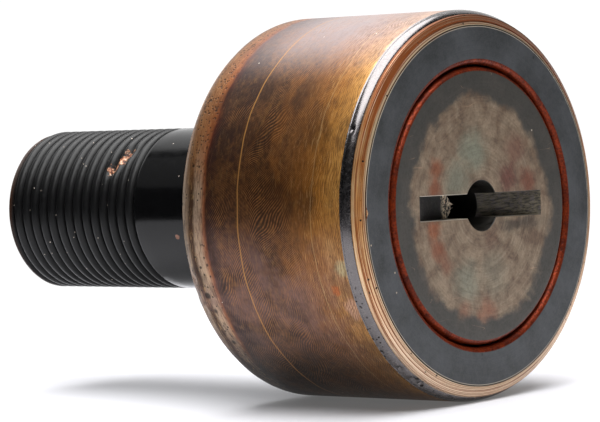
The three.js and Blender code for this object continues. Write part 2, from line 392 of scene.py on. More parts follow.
def make_scratches():
    """Thin marks: narrow bands of a noise stretched along one direction, broken by another."""
    t, given, out = new_group(
        "scratches",
        [("Vector", "vector", None), ("Per mm", "value", 0.8), ("Width", "value", 0.012),
         ("Cover", "value", 0.5)],
        [("Mask", "value")])
    field = t.noise(given["Vector"], given["Per mm"], 1.0, 0.4, 0.3)
    off = t.apart(field, 0.5)
    line = t.span(off, t.times(given["Width"], 0.3), given["Width"], 1, 0)
    broken = t.noise(given["Vector"], t.times(given["Per mm"], 2.3), 2)
    edge = t.math("SUBTRACT", 1.0, given["Cover"])
    part = t.span(broken, edge, t.math("ADD", edge, 0.08))
    t.put(out["Mask"], t.times(line, part))
    return t.tree


def make_ripples():
    """Ripple marks like a fingerprint: fine waves along a direction bent by slow noise."""
    t, given, out = new_group(
        "ripple_marks",
        [("Vector", "vector", None), ("Direction", "vector", None), ("Spacing", "value", 0.30),
         ("Bend", "value", 7.0), ("Bends per mm", "value", 0.1)],
        [("Value", "value")])
    along = t.node("ShaderNodeVectorMath", {0: given["Vector"], 1: given["Direction"]},
                   operation="DOT_PRODUCT").outputs["Value"]
    slow = t.noise(given["Vector"], given["Bends per mm"], 1.5, 0.4)
    bent = t.math("MULTIPLY_ADD", slow, given["Bend"], along)
    phase = t.times(t.math("DIVIDE", bent, given["Spacing"]), 2 * math.pi)
    wave = t.math("POWER", t.math("MULTIPLY_ADD", t.math("SINE", phase), 0.5, 0.5), 2.2)
    broken = t.noise(given["Vector"], 1.3, 2)
    t.put(out["Value"], t.times(wave, t.span(broken, 0.3, 0.6, 0.25, 1.0)))
    return t.tree


def make_stain():
    """A stain about a point: full in the middle, with an edge broken up by noise."""
    t, given, out = new_group(
        "stain",
        [("Vector", "vector", None), ("Centre", "vector", None), ("Radius", "value", 2.0),
         ("Softness", "value", 0.5), ("Raggedness", "value", 0.5)],
        [("Mask", "value")])
    away = t.node("ShaderNodeVectorMath", {0: given["Vector"], 1: given["Centre"]},
                  operation="DISTANCE").outputs["Value"]
    share = t.math("DIVIDE", away, given["Radius"])
    broken = t.noise(given["Vector"], t.math("DIVIDE", 1.6, given["Radius"]), 4, 0.65)
    offset = t.times(t.math("SUBTRACT", broken, 0.5), given["Raggedness"])
    share = t.math("MULTIPLY_ADD", offset, 3.0, share)
    inner = t.math("SUBTRACT", 1.0, given["Softness"])
    t.put(out["Mask"], t.span(share, inner, 1.0, 1, 0, smooth=True))
    return t.tree


GRAIN = make_grain()
SPECKS = make_specks()
SCRATCHES = make_scratches()
RIPPLES = make_ripples()
STAIN = make_stain()


class Finish(Tree):
    """A material: its tree, its shader, and the piece's own coordinates in millimetres."""

    def __init__(self, name, **uniform):
        """A new material with a name, and values that are the same all over it."""
        self.material = bpy.data.materials.new(name)
        self.material.use_nodes = True
        super().__init__(self.material.node_tree)
        self.tree.nodes.clear()
        self.shader = self.node("ShaderNodeBsdfPrincipled")
        end = self.node("ShaderNodeOutputMaterial")
        self.tree.links.new(self.shader.outputs[0], end.inputs["Surface"])
        for key, value in uniform.items():
            self.shader.inputs[key.replace("_", " ")].default_value = value
        place = self.node("ShaderNodeTexCoord").outputs["Object"]
        self.mm = self.stretch(place, 1000, 1000, 1000)
        self.x, self.y, self.z = self.node("ShaderNodeSeparateXYZ", {0: self.mm}).outputs

    def radius(self):
        """Distance from the roller's axis."""
        across, up = self.times(self.x, self.x), self.times(self.z, self.z)
        return self.math("SQRT", self.math("ADD", across, up))

    def grain(self, per_mm, contrast):
        """Fine even grain about 0.5."""
        inputs = {"Vector": self.mm, "Per mm": per_mm, "Contrast": contrast}
        return self.group(GRAIN, inputs)[0]

    def specks(self, per_mm, size, share, shift=(0, 0, 0)):
        """Sparse specks in a share of the cells, which the shift moves."""
        inputs = {"Vector": self.stretch(self.mm, 1, 1, 1, shift), "Per mm": per_mm,
                  "Size": size, "Share": share}
        return self.group(SPECKS, inputs)[0]

    def stain(self, centre, radius, softness=0.5, raggedness=0.5):
        """A ragged stain about a centre (mm)."""
        inputs = {"Vector": self.mm, "Centre": centre, "Radius": radius,
                  "Softness": softness, "Raggedness": raggedness}
        return self.group(STAIN, inputs)[0]

    def set(self, **linked):
        """Values that change over the surface, linked to the shader."""
        for key, value in linked.items():
            self.put(self.shader.inputs[key.replace("_", " ")], value)

    def bump(self, *layers):
        """Normal from layers of (height, strength in micrometres), one bump on another."""
        normal = None
        for height, microns in layers:
            inputs = {"Height": height, "Distance": microns * 1e-6, "Strength": 1.0}
            if normal is not None:
                inputs["Normal"] = normal
            normal = self.node("ShaderNodeBump", inputs).outputs[0]
        self.put(self.shader.inputs["Normal"], normal)


def tread_bands(f):
    """Colours of the tread along its axis, from the front to the back, a little wandering."""
    front, back = Y_HEAD / MM, Y_BACK / MM
    slow = f.noise(f.stretch(f.mm, 0.07, 0.10, 0.07), 1.0, 4, 0.6)
    wander = f.times(f.math("SUBTRACT", slow, 0.5), 0.06)
    share = f.math("ADD", f.span(f.y, front, back), wander)
    warm = f.ramp(share, [
        (0.00, "#c59a5c"), (0.10, "#c9934a"), (0.20, "#a06a28"),
        (0.29, "#754819"), (0.40, "#3e220b"), (0.52, "#271306"),
        (0.60, "#2b1508"), (0.66, "#23110e"), (0.80, "#221112"),
        (0.83, "#42170a"), (0.855, "#a85e30"), (0.885, "#9c6a40"),
        (0.94, "#987753"), (1.00, "#a08a72")])
    plain = f.ramp(share, [
        (0.80, "#281414"), (0.825, "#2e1610"), (0.84, "#8a5030"),
        (0.862, "#ab947c"), (0.893, "#a08b76"), (0.906, "#2a1910"),
        (0.924, "#2f1d13"), (0.935, "#8f7a66"), (0.965, "#998571"),
        (1.00, "#cdbda8")])
    level = f.times(f.span(share, 0.79, 0.82), f.span(f.z, 15, 5))
    return share, f.mix(f.times(level, 0.9), warm, plain)


def tread_stains_shade_and_sheen(f, share, colour):
    """Ochre smears high up, mauve ones low down, painted shade at the foot, painted pale sheen on
    top.
    """
    patch = f.noise(f.stretch(f.mm, 0.09, 0.08, 0.09, (3.1, 7.7, 1.3)), 1.0, 4, 0.6, 0.4)
    low = f.times(f.span(f.z, 1, -9), f.span(f.z, -27, -21))
    mauve = f.times(f.span(patch, 0.38, 0.60, smooth=True), low)
    colour = f.mix(f.times(mauve, 0.6), colour, "#7a5c56")
    cloud = f.noise(f.stretch(f.mm, 0.10, 0.16, 0.10), 1.0, 4, 0.6)
    ochre = f.times(f.span(cloud, 0.53, 0.66, smooth=True), f.span(share, 0.62, 0.4, 0.1, 0.45))
    colour = f.mix(ochre, colour, "#7d4a16")
    dull = f.times(f.span(cloud, 0.47, 0.35, smooth=True), 0.5)
    colour = f.mix(dull, colour, "#1e1006")
    mottle = f.noise(f.stretch(f.mm, 0.32, 0.55, 0.32, (2, 5, 3)), 1.0, 5, 0.7)
    colour = f.mix(f.span(mottle, 0.50, 0.68, 0, 0.5), colour, "#2a1608")
    colour = f.mix(f.span(mottle, 0.46, 0.28, 0, 0.22), colour, "#b07c3c")
    for centre, radius, weight, tone in TREAD_STAINS:
        mask = f.times(f.stain(centre, radius, 0.6, 0.4), weight)
        colour = f.mix(mask, colour, tone)
    # Painted shade: near black low down, where the tread faces the shadowed floor under it.
    foot = f.times(f.span(f.z, -17, -25), f.span(share, 0.0, 0.4, 0.5, 0.97))
    colour = f.mix(foot, colour, "#0e0603")
    # Painted highlight: a pale sheen near the top, standing in for the white backdrop's
    # reflection.
    painted_top_sheen = f.times(f.span(f.z, 21, 31, smooth=True), f.span(share, 0.9, 0.6, 0.1, 0.58))
    return f.mix(painted_top_sheen, colour, "#c0b4b7")


def tread_streaks(f, colour, front, rim):
    """Fine streaks round the tread, strongest on the front third and the back rim."""
    streaks = f.noise(f.stretch(f.mm, 0.6, 4.6, 0.6), 1.0, 3, 0.65)
    streaked = f.math("MULTIPLY_ADD", f.math("MAXIMUM", front, rim), 0.75, 0.25)
    dark = f.times(f.span(streaks, 0.52, 0.60), streaked)
    light = f.times(f.span(streaks, 0.44, 0.34), streaked)
    colour = f.mix(f.times(dark, 0.5), colour, "#3a1f0a")
    colour = f.mix(f.times(light, 0.28), colour, "#e0b67c")
    return colour, streaks


def tread_ripples(f, share, colour, front):
    """Bright ripples on the middle of the tread, and dark combed ones on its front."""
    inputs = {"Vector": f.mm, "Direction": (0.1, 0.75, 0.65)}
    ripples = f.group(RIPPLES, inputs)[0]
    middle = f.times(f.span(share, 0.02, 0.36, 0.5, 1), f.span(share, 0.83, 0.76))
    shown = f.span(f.noise(f.mm, 0.13, 3), 0.36, 0.54, 0.3, 1.0)
    rippled = f.times(f.times(ripples, middle), shown)
    colour = f.mix(f.times(rippled, 0.6), colour, "#a8703c")
    inputs = {"Vector": f.mm, "Direction": (0.0, 1.0, 0.25), "Spacing": 0.42, "Bend": 5.0,
              "Bends per mm": 0.16}
    combed = f.times(f.times(f.group(RIPPLES, inputs)[0], front), 0.65)
    return f.mix(combed, colour, "#5a3410"), rippled


def tread_lines(f, colour):
    """Two fine turned lines round the tread, which waver a little."""
    waver = f.math("MULTIPLY_ADD", f.noise(f.mm, 0.08, 2), 1.4, LINE_Y - 0.7)
    off = f.apart(f.y, waver)
    colour = f.mix(f.span(off, 0.05, 0.17, 0.65, 0), colour, "#c08a48")
    second = f.math("SUBTRACT", waver, SECOND_LINE)
    off = f.apart(f.y, second)
    return f.mix(f.span(off, 0.04, 0.13, 0.18, 0), colour, "#e6c48c")


def tread_pits(f, colour, rim):
    """Pits, most on the back rim, a few large ones low on it, and bright nicks anywhere."""
    spots = f.math("MAXIMUM", f.specks(1.3, 0.3, 0.5), f.specks(0.7, 0.25, 0.4, (1, 6, 2)))
    spots = f.times(spots, f.math("MULTIPLY_ADD", rim, 0.8, 0.12))
    large = f.times(f.specks(0.42, 0.34, 0.75, (4, 4, 8)),
                    f.times(f.span(f.z, -7, -10), f.span(f.y, -6.4, -5.6)))
    crust = f.times(f.specks(1.7, 0.4, 0.75, (7, 2, 5)), f.times(rim, f.span(f.z, 5, 12, 0, 0.8)))
    pits = f.math("MAXIMUM", f.math("MAXIMUM", large, crust), spots)
    nicks = f.specks(0.33, 0.06, 0.15, (5, 3, 9))
    colour = f.mix(f.times(pits, 0.88), colour, "#150c06")
    return f.mix(f.times(nicks, 0.8), colour, "#efe4d2"), pits


def tread_finish():
    """Run-in tread under old oil: browned steel in bands, with fine ripples and streaks."""
    f = Finish("worn_tread", Metallic=0.62, Coat_Weight=0.14, Coat_Roughness=0.3,
               Specular_IOR_Level=0.25)
    share, colour = tread_bands(f)
    colour = tread_stains_shade_and_sheen(f, share, colour)
    front = f.span(share, 0.38, 0.24)
    rim = f.span(share, 0.835, 0.85)
    colour, streaks = tread_streaks(f, colour, front, rim)
    colour, rippled = tread_ripples(f, share, colour, front)
    browned = f.times(rim, f.span(f.z, 4, 13, 0, 0.55))
    colour = f.mix(browned, colour, "#70411f")
    colour = tread_lines(f, colour)
    colour, pits = tread_pits(f, colour, rim)
    grain = f.grain(3.0, 1.6)
    f.set(Base_Color=colour, Roughness=f.span(grain, 0.2, 0.8, 0.38, 0.52))
    f.bump((rippled, 12), (streaks, 10), (grain, 5), (pits, -40))
    return f.material


def bead_finish():
    """Rolled-over bead at the tread's edge: dark bright steel, pitted low down."""
    f = Finish("bead_steel", Metallic=1.0)
    grain = f.grain(2.5, 2.0)
    lower = f.span(f.z, -4, -14)
    pits = f.times(f.math("MAXIMUM", f.specks(1.5, 0.34, 0.5),
                          f.specks(0.8, 0.3, 0.4, (4, 1, 7))), lower)
    colour = f.mix(grain, "#625e5f", "#767271")
    colour = f.mix(f.times(pits, 0.9), colour, "#1a1512")
    f.set(Base_Color=colour, Roughness=f.span(grain, 0.2, 0.8, 0.2, 0.3))
    f.bump((grain, 1), (pits, -30))
    return f.material


def corner_finish():
    """Turned corner between bead and face: straw-coloured steel with fine round lines."""
    f = Finish("straw_corner", Metallic=0.72)
    depth = f.math("SUBTRACT", f.y, Y_HEAD / MM)
    across = f.math("ADD", f.radius(), f.times(depth, 0.6))
    place = f.node("ShaderNodeCombineXYZ", {0: f.times(across, 5.0)}).outputs[0]
    lines = f.noise(f.node("ShaderNodeVectorMath", {
        0: place, 1: f.stretch(f.mm, 0.035, 0.1, 0.035)}).outputs[0], 1.0, 3, 0.7)
    slow = f.noise(f.stretch(f.mm, 0.09, 0.4, 0.09), 1.0, 4, 0.6)
    colour = f.ramp(slow, [(0.32, "#b06c28"), (0.46, "#c58f56"),
                           (0.58, "#cca474"), (0.72, "#a55c20")])
    burnt = f.mix(lines, "#240c02", "#87430e")
    colour = f.mix(f.span(f.z, 5, 20, 0, 0.92), colour, burnt)
    pale = f.times(f.span(f.z, -6, -22), 0.85)
    colour = f.mix(pale, colour, "#dcc4aa")
    colour = f.mix(f.span(across, 29.9, 29.5, 0, 0.6), colour, "#d5c3a4")
    colour = f.mix(f.span(lines, 0.49, 0.57, 0, 0.95), colour, "#7a380c")
    colour = f.mix(f.span(lines, 0.43, 0.34, 0, 0.65), colour, "#f2dfc2")
    # Painted shade: a near-black line along the fine groove at the face's edge.
    edge = f.apart(across, CORNER_SHADE_LINE)
    colour = f.mix(f.span(edge, 0.07, 0.13, 0.95, 0), colour, "#060504")
    colour = f.mix(f.span(across, 32.2, 32.5, 0, 0.75), colour, "#2a1a12")
    pits = f.specks(0.8, 0.2, 0.35)
    colour = f.mix(pits, colour, "#1d120b")
    grain = f.grain(3.5, 1.5)
    f.set(Base_Color=colour, Roughness=f.span(grain, 0.2, 0.8, 0.38, 0.55))
    f.bump((lines, 16), (grain, 5), (pits, -40))
    return f.material


def face_finish():
    """Flat faces: dark grey oxide with faint cloudy rubbing, round lines and specks."""
    f = Finish("grey_face", Metallic=0.2)
    cloud = f.noise(f.mm, 0.16, 5, 0.65)
    rings = f.noise(f.node("ShaderNodeCombineXYZ", {
        0: f.times(f.radius(), 4.0)}).outputs[0], 1.0, 2)
    grain = f.grain(4.0, 1.6)
    colour = f.mix(f.span(cloud, 0.35, 0.65), "#2c2e2f", "#45474a")
    colour = f.mix(f.span(grain, 0.3, 0.8, 0, 0.3), colour, "#5d5e5d")
    colour = f.mix(f.span(rings, 0.5, 0.7, 0, 0.2), colour, "#1b1c1d")
    rim = f.apart(f.radius(), FACE_LINE_R)
    colour = f.mix(f.span(rim, 0.03, 0.09, 0.7, 0), colour, "#b9ae9e")
    colour = f.mix(f.times(f.specks(0.35, 0.07, 0.2), 0.8), colour, "#c0ad96")
    colour = f.mix(f.times(f.specks(0.4, 0.13, 0.2, (2, 2, 8)), 0.7), colour, "#191a1b")
    f.set(Base_Color=colour, Roughness=f.span(cloud, 0.3, 0.7, 0.44, 0.58))
    f.bump((grain, 5), (cloud, 12), (rings, 3))
    return f.material


def groove_finish():
    """Rust in the groove between head and ring."""
    f = Finish("rusty_groove", Metallic=0.5, Specular_IOR_Level=0.2)
    grain = f.grain(2.6, 2.6)
    slow = f.noise(f.mm, 0.4, 4, 0.6)
    colour = f.mix(grain, "#3c1206", "#8a3414")
    colour = f.mix(f.span(slow, 0.50, 0.68, 0, 0.6), colour, "#34100a")
    f.set(Base_Color=colour, Roughness=f.span(grain, 0.2, 0.8, 0.5, 0.28))
    f.bump((grain, 55), (slow, 60))
    return f.material


def head_stains_and_slot_shadow(f, colour):
    """Copper stains left and low, plum ones right, green-grey inside, painted shadow under the
    slot.
    """
    for x, z, radius, weight, tone in HEAD_STAINS:
        mask = f.times(f.stain((x, Y_HEAD / MM, z), radius, 0.85, 0.32), weight)
        colour = f.mix(mask, colour, tone)
    # Painted shadow: a dark band just under the right half of the slot.
    waver = f.span(f.noise(f.mm, 0.35, 3), 0.3, 0.7, -0.7, 0.7)
    below = f.math("ABSOLUTE", f.math("ADD", f.math("ADD", f.z, waver), 3.5))
    ends = f.times(f.span(f.x, 3.0, 7.0), f.span(f.x, 18.0, 12.0))
    painted_shadow_under_slot = f.times(f.span(below, 0.3, 1.5, 0.65, 0, smooth=True), ends)
    return f.mix(painted_shadow_under_slot, colour, "#1a1918")


def head_finish():
    """Head of the stud: dark rim, and a rubbed middle in brown, copper and green-grey."""
    f = Finish("worn_head", Metallic=0.3)
    r = f.radius()
    wobble = f.noise(f.mm, 0.22, 4, 0.6)
    shore = f.math("ADD", r, f.span(wobble, 0.3, 0.7, 1.2, -1.2))
    shore = f.math("ADD", shore, f.span(f.z, -20, 0, -1.2, 0))
    worn = f.span(shore, 18.6, 16.6, smooth=True)
    cloud = f.noise(f.stretch(f.mm, 1, 1, 1, (9, 2, 4)), 0.3, 5, 0.65, 0.4)
    middle = f.mix(f.span(cloud, 0.39, 0.61), "#6a5645", "#8f7d68")
    middle = head_stains_and_slot_shadow(f, middle)
    rim = f.mix(f.noise(f.mm, 0.3, 4), "#343532", "#504b45")
    colour = f.mix(worn, rim, middle)
    rings = f.noise(f.node("ShaderNodeCombineXYZ", {
        0: f.times(r, 3.0), 1: f.times(f.x, 0.12),
        2: f.times(f.z, 0.12)}).outputs[0], 1.0, 3)
    ringed = f.math("MULTIPLY_ADD", worn, 0.8, 0.2)
    dark = f.times(f.span(rings, 0.5, 0.7, 0, 0.25), ringed)
    light = f.times(f.span(rings, 0.45, 0.3, 0, 0.12), ringed)
    colour = f.mix(dark, colour, "#2f2a25")
    colour = f.mix(light, colour, "#b5aa98")
    grain = f.grain(3.2, 1.8)
    colour = f.mix(f.span(grain, 0.4, 0.85, 0, 0.3), colour, "#2e2a27")
    marks = f.group(SCRATCHES, {"Vector": f.stretch(f.mm, 0.15, 1, 0.9), "Per mm": 0.5,
                                "Width": 0.005, "Cover": 0.42})[0]
    colour = f.mix(f.times(marks, 0.3), colour, "#c4a184")
    colour = f.mix(f.specks(0.35, 0.05, 0.22), colour, "#e0d6c4")
    f.set(Base_Color=colour, Roughness=f.span(grain, 0.2, 0.8, 0.42, 0.58))
    f.bump((grain, 8), (rings, 6), (wobble, 30), (cloud, 20))
    return f.material


def slot_finish():
    """Slot: dark steel scored along the slot; paler steel and painted light to the right; crumbs
    beside the port.
    """
    f = Finish("slot_steel", Metallic=0.4)
    along = f.noise(f.stretch(f.mm, 0.08, 2.0, 3.6), 1.0, 4, 0.7)
    grain = f.grain(2.4, 2.6)
    colour = f.mix(along, "#0f0e0d", "#3a3832")
    paler_right_with_painted_light = f.mix(f.span(along, 0.38, 0.62), "#26231c", "#675f4e")
    # Right of x 3.2-4.8 mm: partly paler steel, partly painted light; the darker left is partly
    # painted shade.
    colour = f.mix(f.span(f.x, 3.2, 4.8), colour, paler_right_with_painted_light)
    colour = f.mix(f.span(grain, 0.5, 0.8, 0, 0.3), colour, "#5d5662")
    near_port = f.span(f.math("ABSOLUTE", f.math("ADD", f.x, 2.9)), 1.9, 2.9, 1, 0)
    lumps = f.span(f.noise(f.mm, 1.9, 4, 0.7), 0.43, 0.52)
    crumbs = f.times(near_port, lumps)
    colour = f.mix(crumbs, colour, "#ead9bd")
    f.set(Base_Color=colour, Roughness=f.span(grain, 0.2, 0.8, 0.38, 0.6))
    f.bump((along, 20), (grain, 12), (crumbs, 120))
    return f.material


def port_finish():
    """Inside of the grease port: steel black with old grease."""
    f = Finish("port_steel", Metallic=0.2)
    grain = f.grain(1.2, 2.6)
    f.set(Base_Color=f.mix(grain, "#0b0a09", "#2b2823"),
          Roughness=f.span(grain, 0.2, 0.8, 0.35, 0.6))
    f.bump((grain, 40))
    return f.material


def black_finish():
    """Shank and thread: black oxide, with light nicks and one bruise rusted brown."""
    f = Finish("black_oxide", Metallic=0.0, Specular_IOR_Level=0.26)
    grain = f.grain(3.0, 1.8)
    colour = f.mix(grain, "#040404", "#0d0d0e")
    bruised = None
    for centre in BRUISE:
        mask = f.stain(centre, 1.35, 0.35, 0.6)
        bruised = mask if bruised is None else f.math("MAXIMUM", bruised, mask)
    speckle = f.noise(f.mm, 1.6, 4, 0.7)
    rust = f.ramp(speckle, [(0.38, "#180c08"), (0.48, "#8a4a2c"),
                            (0.57, "#cf9d78"), (0.66, "#efe2d6")])
    colour = f.mix(bruised, colour, rust)
    spot = f.stain(RUST_SPOT, 0.5, 0.3, 0.5)
    colour = f.mix(spot, colour, "#8c6350")
    near = f.span(f.y, 24, 27)
    nicks = f.math("MAXIMUM", f.times(f.specks(0.9, 0.1, 0.3), near),
                   f.specks(0.4, 0.06, 0.25, (3, 3, 1)))
    colour = f.mix(nicks, colour, "#cdbfb2")
    lip = f.times(f.span(f.y, 56.3, 56.9, 0, 0.6), f.span(f.radius(), 13.0, 13.7))
    colour = f.mix(lip, colour, "#4a2c18")
    shine = f.math("ADD", f.span(grain, 0.2, 0.8, 0.11, 0.19), f.span(f.y, 25.4, 26.2, 0, 0.22))
    f.set(Base_Color=colour, Roughness=shine)
    f.bump((grain, 4), (f.times(bruised, speckle), 120))
    return f.material


def ground_finish(name, low, high, rough=0.2):
    """Ground bearing steel with fine lines round the axis."""
    f = Finish(name, Metallic=1.0)
    lines = f.noise(f.stretch(f.mm, 0.3, 6.0, 0.3), 1.0, 3, 0.6)
    f.set(Base_Color=f.mix(lines, low, high),
          Roughness=f.span(lines, 0.3, 0.7, rough, rough + 0.12))
    f.bump((lines, 3))
    return f.material


def seal_finish():
    """Brown seal plastic, greasy."""
    f = Finish("seal_plastic", Metallic=0.0)
    grain = f.grain(2.0, 1.5)
    f.set(Base_Color=f.mix(grain, "#2b1a12", "#4a2e1f"),
          Roughness=f.span(grain, 0.2, 0.8, 0.35, 0.6))
    f.bump((grain, 10))
    return f.material


# ---- Stud ----------------------------------------------------------------------------------


def slot_angles(radius):
    """Angles of the stud's columns at each radius, so that columns follow the slot's edges.

    A quarter turn has, from the middle of the slot outwards: five columns on its floor, one on
    the top of its wall, one on its bevel, then even columns up to square across. The slot's
    edge lies at asin(half its width / radius). Past the slot's ends the columns spread to the
    angles of the last radius, so they run straight along the stud.
    """
    floor_columns, open_columns = 8, 42
    r = np.clip(radius, PORT_R, SLOT_L / 2)[:, None]
    edge = np.arcsin(SLOT_W / 2 / r)
    bevel = np.arcsin((SLOT_W / 2 + SLOT_BEVEL) / r)
    share = np.linspace(0, 1, floor_columns + 1)[None, :]
    spread = np.linspace(0, 1, open_columns + 1)[None, :]
    outside = bevel + (math.pi / 2 - bevel) * spread
    quarter = np.concatenate([edge * share, edge, outside], axis=1)
    half = np.concatenate([quarter, math.pi - quarter[:, -2::-1]], axis=1)
    whole = np.concatenate([half, math.pi + half[:, 1:]], axis=1)
    kind = np.array([2] * (floor_columns + 1) + [1] + [0] * (open_columns + 1))
    kind = np.concatenate([kind, kind[-2::-1]])
    return whole, np.concatenate([kind, kind[1:]])


def stud_front(section):
    """The port, the head with its slot, and the stud up to its thread, from (r, y) rows.

    On the slot's floor columns y is at least the arched floor's: the depth at x is that of a
    circle through the slot's ends and its deepest point. The top of the slot's wall lies one
    bevel under the head face.
    """
    angles, kind = slot_angles(section[:, 0])
    grid = sweep(section, angles)
    cutter = (SLOT_L ** 2 / 4 + SLOT_DEPTH ** 2) / (2 * SLOT_DEPTH)
    x = np.abs(grid[..., 0])
    inside = np.sqrt(np.maximum(cutter ** 2 - x ** 2, 0)) - (cutter - SLOT_DEPTH)
    floor = Y_HEAD + np.maximum(inside, 0)
    lip = Y_HEAD + np.minimum(np.maximum(inside, 0), SLOT_BEVEL)
    slotted = np.hypot(grid[..., 0], grid[..., 2]) < SLOT_L / 2 + 1 * MM
    y = grid[..., 1]
    y = np.where(slotted & (kind == 2)[None, :], np.maximum(y, floor), y)
    y = np.where(slotted & (kind == 1)[None, :], np.maximum(y, lip), y)
    grid[..., 1] = y
    return grid


def thread_radius(angle, y):
    """Radius of the thread: ribs with broad rounded crests, wound round the stud.

    The groove's middle falls by one pitch a turn. Away from it, the depth falls off as the
    2.4th power of the share of the way left to the crest. It fades out just before the shank,
    and the stud's end is chamfered.
    """
    from_groove = y - (Y_END - THREAD_PITCH * angle / (2 * math.pi))
    off = np.abs((from_groove + THREAD_PITCH / 2) % THREAD_PITCH - THREAD_PITCH / 2)
    depth = THREAD_DEPTH * (1 - off / (THREAD_PITCH / 2)) ** 2.4
    fade = np.clip((y - (Y_END - THREAD_L)) / (0.35 * THREAD_PITCH), 0, 1)
    chamfer = np.maximum(0, y - (Y_END - STUD_CHAMFER))
    return np.minimum(SHANK_R - depth * fade, SHANK_R - chamfer)


def thread_grid(angles):
    """Rows that wind with the thread, held between the thread's start and the stud's end."""
    half = np.array([0, 0.07, 0.15, 0.25, 0.37, 0.52, 0.7, 1.0]) / 2
    per_turn = np.concatenate([-half[:0:-1], half[:-1]])
    turns = int(math.ceil(THREAD_L / THREAD_PITCH)) + 2
    k = np.arange(-turns, 2)[:, None]
    along = np.sort((Y_END + (k + per_turn[None, :]) * THREAD_PITCH).ravel())[:, None]
    y = np.clip(along - THREAD_PITCH * angles[None, :] / (2 * math.pi), Y_END - THREAD_L, Y_END)
    r = thread_radius(angles[None, :], y)
    a = np.broadcast_to(angles[None, :], y.shape)
    return np.stack([r * np.cos(a), y, r * np.sin(a)], axis=-1)


def dent(grid, centre, size, depth):
    """Points near a centre (mm) are pushed towards the axis, most of all at the centre."""
    away = np.linalg.norm(grid - np.array(centre) * MM, axis=-1)
    push = depth * MM * np.exp(-(away / (size * MM)) ** 2)
    radius = np.hypot(grid[..., 0], grid[..., 2])
    scale = 1 - push / np.maximum(radius, MM)
    grid[..., 0] *= scale
    grid[..., 2] *= scale
    return grid


def crumb_ledge(grid):
    """Packed dirt on the left of the port: its wall swells inwards just below the slot."""
    x, y, z = (grid[..., i] for i in range(3))
    radius = np.hypot(x, z)
    depth = (y - Y_HEAD) / MM
    side = np.clip(1 - (z / (SLOT_W / 2)) ** 4, 0, 1) * (x < 0)
    level = np.clip((depth - LEDGE_TOP) / LEDGE_RISE, 0, 1)
    level = level * np.clip((LEDGE_FOOT - depth) / LEDGE_SLOPE, 0, 1)
    lumps = 0.75 + 0.14 * np.sin(z / MM * 5.1 + depth * 3.7) + 0.11 * np.sin(z / MM * 9.3 + 1)
    wall = (radius > PORT_R - 0.01 * MM) & (radius < PORT_R + 0.01 * MM)
    inwards = np.where(wall, LEDGE_SWELL * MM * side * level * lumps, 0)
    scale = 1 - inwards / np.maximum(radius, MM)
    grid[..., 0] *= scale
    grid[..., 2] *= scale
    return grid


def turn_slot(grid):
    """The slot and the head round it are turned a little about the axis."""
    x, z = grid[..., 0].copy(), grid[..., 2].copy()
    share = np.clip((SLOT_L / 2 + 2 * MM - np.hypot(x, z)) / (2 * MM), 0, 1)
    a = SLOT_TURN * np.where(grid[..., 1] < Y_HEAD + PORT_DEPTH / 2, share, 0)
    grid[..., 0] = x * np.cos(a) + z * np.sin(a)
    grid[..., 2] = z * np.cos(a) - x * np.sin(a)
    return grid


def stud_rows():
    """The stud's section from the gallery to the thread, as (r, y) rows with their finishes.

    Finishes: 0 head, 1 rusty rim, 3 black, 4 raceway, 5 port. The slot's own, 2 and 6, are
    put on the finished mesh. Rows lie closer together where dirt swells the port's wall.
    """
    y_flange = Y_HEAD + FLANGE_T
    y_thread = Y_END - THREAD_L
    tip = PORT_R - GALLERY_R
    rim = FLANGE_R - EDGE_RADIAL
    port = run(
        (GALLERY_R, Y_END - END_PORT_DEPTH - tip, 1),
        (GALLERY_R, Y_HEAD + PORT_DEPTH + tip, 6),
        (PORT_R, Y_HEAD + PORT_DEPTH, 3),
        (PORT_R, Y_HEAD + LEDGE_FOOT * MM, 4),
        (PORT_R, Y_HEAD + 4.9 * MM, 6),
        (PORT_R, Y_HEAD + 4.1 * MM, 6),
        (PORT_R, Y_HEAD + PORT_EASE, 10),
        (PORT_R + PORT_EASE, Y_HEAD, 2))
    face = run(
        (PORT_R + PORT_EASE, Y_HEAD, 1),
        (SLOT_L / 2 - 0.6 * MM, Y_HEAD, 22),
        (SLOT_L / 2 + 0.4 * MM, Y_HEAD, 14),
        (rim, Y_HEAD, 8))[1:]
    edge = arc(rim, Y_HEAD + EDGE_AXIAL, EDGE_RADIAL, EDGE_AXIAL, -90, 0, 8)[1:]
    back = run(
        (FLANGE_R, Y_HEAD + EDGE_AXIAL, 1), (FLANGE_R, y_flange, 3),
        (INNER_RACE_R, y_flange, 3), (INNER_RACE_R, Y_PLATE, 8), (SHANK_R, Y_PLATE, 1),
        (SHANK_R, y_thread, 12))[1:]
    paint = ([5] * (len(port) - 1) + [0] * (len(face) + 1) + [1] * (len(edge) + 2)
             + [4] * 12 + [3] * len(back))
    rows = np.concatenate([port, face, edge, back])
    return rows, np.array(paint[:len(rows)])


def stud_end(angles):
    """The flat threaded end, its port with an eased mouth, and the port's cone."""
    tip = PORT_R - GALLERY_R
    return sweep(run(
        (SHANK_R - STUD_CHAMFER, Y_END, 1), (PORT_R + PORT_EASE, Y_END, 8),
        (PORT_R, Y_END - PORT_EASE, 2), (PORT_R, Y_END - END_PORT_DEPTH, 6),
        (GALLERY_R, Y_END - END_PORT_DEPTH - tip, 3)), angles)


